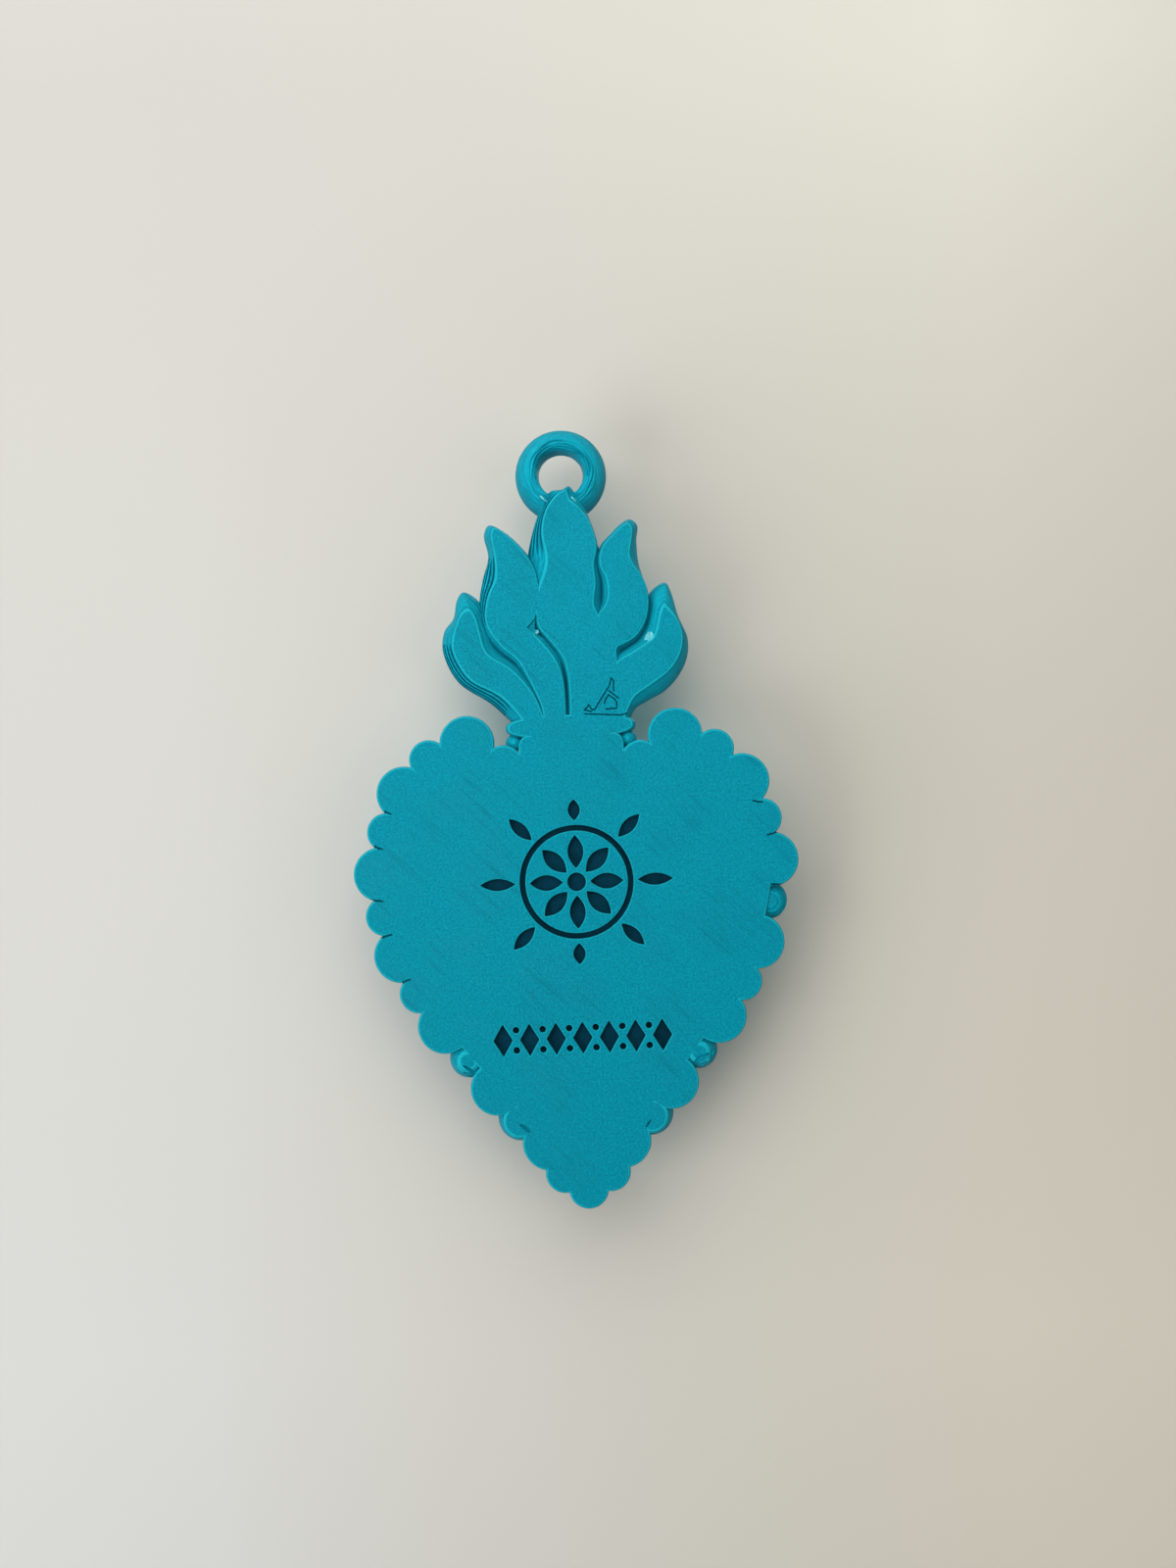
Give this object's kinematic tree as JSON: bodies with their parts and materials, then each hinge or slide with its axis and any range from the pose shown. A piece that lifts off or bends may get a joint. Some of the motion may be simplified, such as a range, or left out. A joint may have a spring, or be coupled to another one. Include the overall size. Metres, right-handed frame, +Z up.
{
  "type": "ex-voto",
  "caption": "Flat-backed heart ornament with a border of round beads, a collared neck, flame tongues and a ring to hang it by.",
  "frame": {"origin": "on the axis of the hanging ring, in the plane of the flat back", "axes": "+Z up from the heart's tip to the ring, +Y from the flat back towards the domed relief, +X to the right as the flat back is looked at"},
  "size_m": [0.0972, 0.02, 0.1714],
  "materials": {
    "plastic": "satin teal print, with fine slanted lines on the flat back and layer lines round the sides"
  },
  "bodies": {
    "root": {"heart_body": "plastic", "collar": "plastic", "flame_centre": "plastic", "flame_left_inner": "plastic", "flame_right_inner": "plastic", "flame_left_outer": "plastic", "flame_right_outer": "plastic", "hanging_ring": "plastic", "border_bead_tip": "plastic", "border_bead_left_00": "plastic", "border_bead_left_01": "plastic", "border_bead_left_02": "plastic", "border_bead_left_03": "plastic", "border_bead_left_04": "plastic", "border_bead_left_05": "plastic", "border_bead_left_06": "plastic", "border_bead_left_07": "plastic", "border_bead_left_08": "plastic", "border_bead_left_09": "plastic", "border_bead_left_10": "plastic", "border_bead_left_11": "plastic", "border_bead_left_12": "plastic", "border_bead_left_13": "plastic", "border_bead_left_14": "plastic", "border_bead_right_00": "plastic", "border_bead_right_01": "plastic", "border_bead_right_02": "plastic", "border_bead_right_03": "plastic", "border_bead_right_04": "plastic", "border_bead_right_05": "plastic", "border_bead_right_06": "plastic", "border_bead_right_07": "plastic", "border_bead_right_08": "plastic", "border_bead_right_09": "plastic", "border_bead_right_10": "plastic", "border_bead_right_11": "plastic", "border_bead_right_12": "plastic", "border_bead_right_13": "plastic", "border_bead_right_14": "plastic", "neck_bead_1": "plastic", "neck_bead_2": "plastic", "neck_bead_3": "plastic", "neck_bead_4": "plastic", "neck_bead_5": "plastic", "neck_bead_6": "plastic", "neck_bead_7": "plastic", "neck_bead_8": "plastic", "neck_bead_9": "plastic"}
  },
  "joints": []
}
